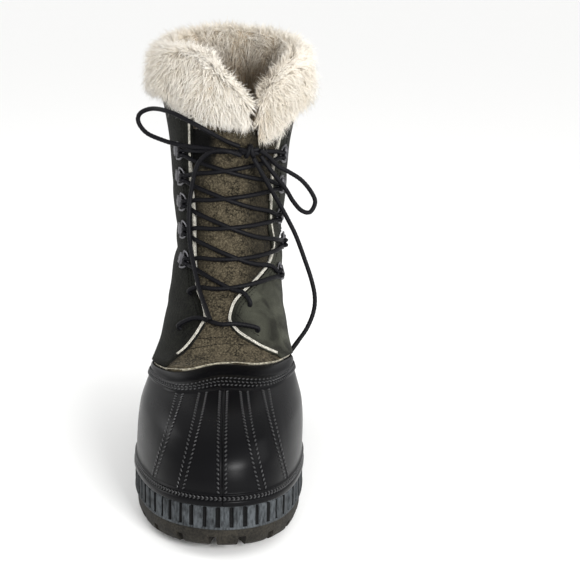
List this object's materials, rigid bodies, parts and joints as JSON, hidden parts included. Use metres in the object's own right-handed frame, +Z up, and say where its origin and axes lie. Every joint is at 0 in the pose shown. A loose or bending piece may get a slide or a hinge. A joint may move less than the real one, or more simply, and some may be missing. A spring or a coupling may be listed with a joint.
{
  "type": "pac boot",
  "caption": "Tall winter pac boot for the right foot: ribbed rubber lower, laced suede shaft with rings, felt liner and deep cream pile cuff.",
  "frame": {"origin": "on the floor under the middle of the heel tread", "axes": "+Z up, -Y towards the toe, +X towards the inner side of the right foot"},
  "size_m": [0.1442, 0.3382, 0.3321],
  "materials": {
    "tread_rubber": "dusty moulded rubber",
    "ribbed_rubber": "dusty fine-textured rubber",
    "rubber": "semi-gloss moulded rubber",
    "suede": "oiled suede, dark olive grey",
    "tongue_suede": "suede, brown olive",
    "felt": "pressed wool felt",
    "pile": "deep cream pile",
    "nickel": "dark nickel plate",
    "lace": "round braided cord",
    "lace_tip": "crimped plastic sleeve"
  },
  "bodies": {
    "root": {"felt_liner": "felt", "fur_cuff": "pile", "insole": "felt", "lace_crossing_1": "lace", "lace_crossing_2": "lace", "lace_crossing_3": "lace", "lace_crossing_4": "lace", "lace_crossing_5": "lace", "lace_crossing_low": "lace", "lace_end_inner": "lace", "lace_end_outer": "lace", "lace_knot": "lace", "lace_loop_inner": "lace", "lace_loop_outer": "lace", "lace_ring_inner_1": "nickel", "lace_ring_inner_2": "nickel", "lace_ring_inner_3": "nickel", "lace_ring_inner_4": "nickel", "lace_ring_inner_5": "nickel", "lace_ring_outer_1": "nickel", "lace_ring_outer_2": "nickel", "lace_ring_outer_3": "nickel", "lace_ring_outer_4": "nickel", "lace_ring_outer_5": "nickel", "lace_tip_inner": "lace_tip", "lace_tip_outer": "lace_tip", "midsole": "ribbed_rubber", "outsole": "tread_rubber", "rubber_shell": "rubber", "shaft": "suede", "tongue": "tongue_suede"}
  },
  "joints": []
}
